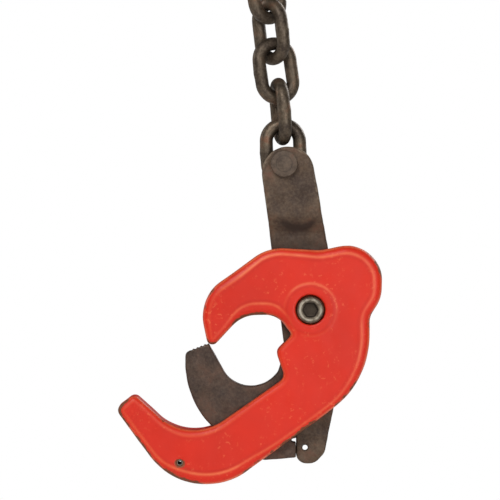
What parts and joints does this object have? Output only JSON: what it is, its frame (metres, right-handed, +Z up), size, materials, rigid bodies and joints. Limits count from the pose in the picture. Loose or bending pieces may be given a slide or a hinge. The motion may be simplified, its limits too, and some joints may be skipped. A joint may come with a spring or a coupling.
{
  "type": "plate lifting clamp",
  "caption": "Hook-bodied plate lifting clamp: a chain-pulled lever closes a toothed jaw against the claw, under a short chain with a master link.",
  "frame": {"origin": "hook seat: top of the inside of the master link, on its middle plane", "axes": "+Z up along the hanging chain, -Y the face with the bolt head, -X the side of the claw and hook tip"},
  "size_m": [0.1581, 0.052, 0.4219],
  "materials": {
    "chain_steel": "dark, lightly rusted",
    "forged_steel": "dark forged scale",
    "jaw_steel": "dark oiled forging",
    "pin_steel": "dark, worn",
    "red_enamel": "satin enamel, worn at the edges",
    "bolt_steel": "bright, worn",
    "bush_bronze": "oiled",
    "screw_steel": "black oxide"
  },
  "bodies": {
    "master": {"master_link": "chain_steel"},
    "link_6": {"chain_link_6": "chain_steel"},
    "link_5": {"chain_link_5": "chain_steel"},
    "link_4": {"chain_link_4": "chain_steel"},
    "link_3": {"chain_link_3": "chain_steel"},
    "link_2": {"chain_link_2": "chain_steel"},
    "link_1": {"chain_link_1": "chain_steel"},
    "lever": {"lever_front_strap": "forged_steel", "lever_rear_strap": "forged_steel", "lever_rivets": "forged_steel", "chain_pin": "pin_steel", "chain_pin_washer": "pin_steel"},
    "body": {"front_cheek": "red_enamel", "rear_cheek": "red_enamel", "pivot_bolt": "bolt_steel", "pivot_washer": "bolt_steel", "pivot_nut": "bolt_steel", "pivot_bush": "bush_bronze", "hook_roll_pin": "bolt_steel", "cheek_screws": "screw_steel"},
    "jaw": {"jaw": "jaw_steel"}
  },
  "joints": [
    {"name": "link_6_swing", "type": "hinge", "parent": "master", "child": "link_6", "pos_m": [0, 0, -0.085], "axis": [0.9481, 0.309, 0.0746], "range_deg": [-45, 45]},
    {"name": "link_5_swing", "type": "hinge", "parent": "link_6", "child": "link_5", "pos_m": [0.00221, 0, -0.10816], "axis": [-0.6365, 0.766, -0.0895], "range_deg": [-45, 45]},
    {"name": "link_4_swing", "type": "hinge", "parent": "link_5", "child": "link_4", "pos_m": [0.00581, 0, -0.13184], "axis": [-0.7384, -0.6691, -0.0841], "range_deg": [-45, 45]},
    {"name": "link_3_swing", "type": "hinge", "parent": "link_4", "child": "link_3", "pos_m": [0.00849, 0, -0.15629], "axis": [0.3549, -0.9336, 0.0499], "range_deg": [-45, 45]},
    {"name": "link_2_swing", "type": "hinge", "parent": "link_3", "child": "link_2", "pos_m": [0.01195, 0, -0.18004], "axis": [0.9744, 0.2079, 0.0853], "range_deg": [-45, 45]},
    {"name": "link_1_swing", "type": "hinge", "parent": "link_2", "child": "link_1", "pos_m": [0.01387, 0, -0.20457], "axis": [0, 1, 0], "range_deg": [-45, 45]},
    {"name": "lever_swing", "type": "hinge", "parent": "link_1", "child": "lever", "pos_m": [0.01452, 0, -0.21981], "axis": [0, -1, 0], "range_deg": [-50, 15]},
    {"name": "clamp_opening", "type": "hinge", "parent": "lever", "child": "body", "pos_m": [0.03012, 0, -0.30731], "axis": [0, 1, 0], "range_deg": [0, 22]},
    {"name": "jaw_opening", "type": "hinge", "parent": "body", "child": "jaw", "pos_m": [0.03012, 0, -0.30731], "axis": [0, -1, 0], "range_deg": [0, 22]}
  ],
  "couplings": [
    {"joint": "jaw_opening", "follows": "clamp_opening", "ratio": 1}
  ]
}
